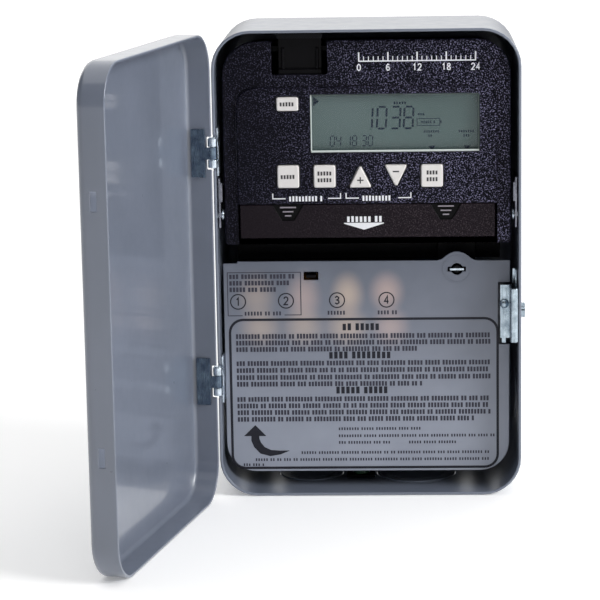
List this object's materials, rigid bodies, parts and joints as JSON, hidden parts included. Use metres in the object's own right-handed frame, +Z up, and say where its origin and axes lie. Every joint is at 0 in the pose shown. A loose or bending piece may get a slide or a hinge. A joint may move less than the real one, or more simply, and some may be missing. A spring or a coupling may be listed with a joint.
{
  "type": "wall-mounted irrigation timer in a steel case",
  "caption": "Drawn steel wall case with a side-hinged door, an electronic timer with display and push buttons, and an insulated wiring space below.",
  "frame": {"origin": "centre of the case's back face, which rests on the wall", "axes": "+X to the right seen from the front, +Y into the wall, +Z up"},
  "size_m": [0.1682, 0.188, 0.1968],
  "materials": {
    "enamel": "semi-gloss grey baked enamel",
    "black": "textured black moulding",
    "smooth": "smooth black moulding",
    "zinc": "bright zinc plate",
    "brass": "bright",
    "key": "warm light grey",
    "clear": "clear acrylic",
    "display": "reflective liquid-crystal panel",
    "frosted": "frosted translucent sheet",
    "silicone": "moulded silicone",
    "board": "glass-epoxy laminate",
    "relay": "moulded",
    "cell": "metal can",
    "green": "green screw",
    "terminal": "phenolic moulding"
  },
  "bodies": {
    "case": {"case_shell": "enamel", "knockout_bottom_left": "enamel", "knockout_bottom_right": "enamel", "knockout_left": "enamel", "knockout_right": "enamel", "knockout_back": "enamel", "case_hinge_leaf_upper": "zinc", "hinge_pin_upper": "zinc", "case_hinge_leaf_lower": "zinc", "hinge_pin_lower": "zinc", "latch_bracket": "zinc", "latch_rivet": "zinc", "clip_right": "zinc", "clip_rivet_right": "zinc", "clip_left": "zinc", "clip_rivet_left": "zinc", "ground_lug": "zinc", "release_strike": "zinc", "battery_contact_left": "zinc", "battery_contact_right": "zinc", "insulator_post": "zinc", "ground_screw": "green", "front_cover": "black", "mechanism_housing": "black", "lcd_window": "clear", "lcd_panel": "display", "keypad_mat": "silicone", "battery_tray": "smooth", "insulator_peg": "smooth", "circuit_board": "board", "relay": "relay", "capacitor": "relay", "transformer": "terminal", "terminal_block": "terminal", "battery_cell_left": "cell", "battery_cell_right": "cell", "terminal_plate_1": "brass", "terminal_screw_1": "brass", "terminal_plate_2": "brass", "terminal_screw_2": "brass", "terminal_plate_3": "brass", "terminal_screw_3": "brass", "terminal_plate_4": "brass", "terminal_screw_4": "brass"},
    "door": {"door_pan": "enamel", "door_hinge_leaf_upper": "zinc", "door_hinge_leaf_lower": "zinc"},
    "insulator": {"insulator_sheet": "frosted"},
    "battery_cover": {"battery_cover": "black"},
    "release_tab": {"release_tab": "smooth"},
    "latch": {"latch_spring": "zinc"},
    "voltage_selector": {"voltage_selector": "smooth"},
    "button_mode": {"button_mode": "key"},
    "button_reset": {"button_reset": "key"},
    "button_next": {"button_next": "key"},
    "button_plus": {"button_plus": "key"},
    "button_minus": {"button_minus": "key"},
    "button_on_off": {"button_on_off": "key"}
  },
  "joints": [
    {"name": "door_hinge", "type": "hinge", "parent": "case", "child": "door", "pos_m": [-0.0635, -0.0643, 0], "axis": [0, 0, 1], "range_deg": [-62, 103]},
    {"name": "insulator_lift", "type": "hinge", "parent": "case", "child": "insulator", "pos_m": [0, -0.0532, 0.0004], "axis": [1, 0, 0], "range_deg": [-95, 0]},
    {"name": "battery_cover_slide", "type": "slide", "parent": "case", "child": "battery_cover", "axis": [0, 0, -1], "range_m": [0, 0.012]},
    {"name": "release_press", "type": "slide", "parent": "case", "child": "release_tab", "axis": [0, 0, -1], "range_m": [0, 0.002], "stiffness_N_per_m": 1500},
    {"name": "latch_press", "type": "slide", "parent": "case", "child": "latch", "axis": [-1, 0, 0], "range_m": [0, 0.001], "stiffness_N_per_m": 3000},
    {"name": "voltage_select", "type": "slide", "parent": "case", "child": "voltage_selector", "axis": [1, 0, 0], "range_m": [0, 0.004]},
    {"name": "button_mode_press", "type": "slide", "parent": "case", "child": "button_mode", "axis": [0, 1, 0], "range_m": [0, 0.0008], "stiffness_N_per_m": 1200},
    {"name": "button_reset_press", "type": "slide", "parent": "case", "child": "button_reset", "axis": [0, 1, 0], "range_m": [0, 0.0008], "stiffness_N_per_m": 1200},
    {"name": "button_next_press", "type": "slide", "parent": "case", "child": "button_next", "axis": [0, 1, 0], "range_m": [0, 0.0008], "stiffness_N_per_m": 1200},
    {"name": "button_plus_press", "type": "slide", "parent": "case", "child": "button_plus", "axis": [0, 1, 0], "range_m": [0, 0.0008], "stiffness_N_per_m": 1200},
    {"name": "button_minus_press", "type": "slide", "parent": "case", "child": "button_minus", "axis": [0, 1, 0], "range_m": [0, 0.0008], "stiffness_N_per_m": 1200},
    {"name": "button_on_off_press", "type": "slide", "parent": "case", "child": "button_on_off", "axis": [0, 1, 0], "range_m": [0, 0.0008], "stiffness_N_per_m": 1200}
  ]
}
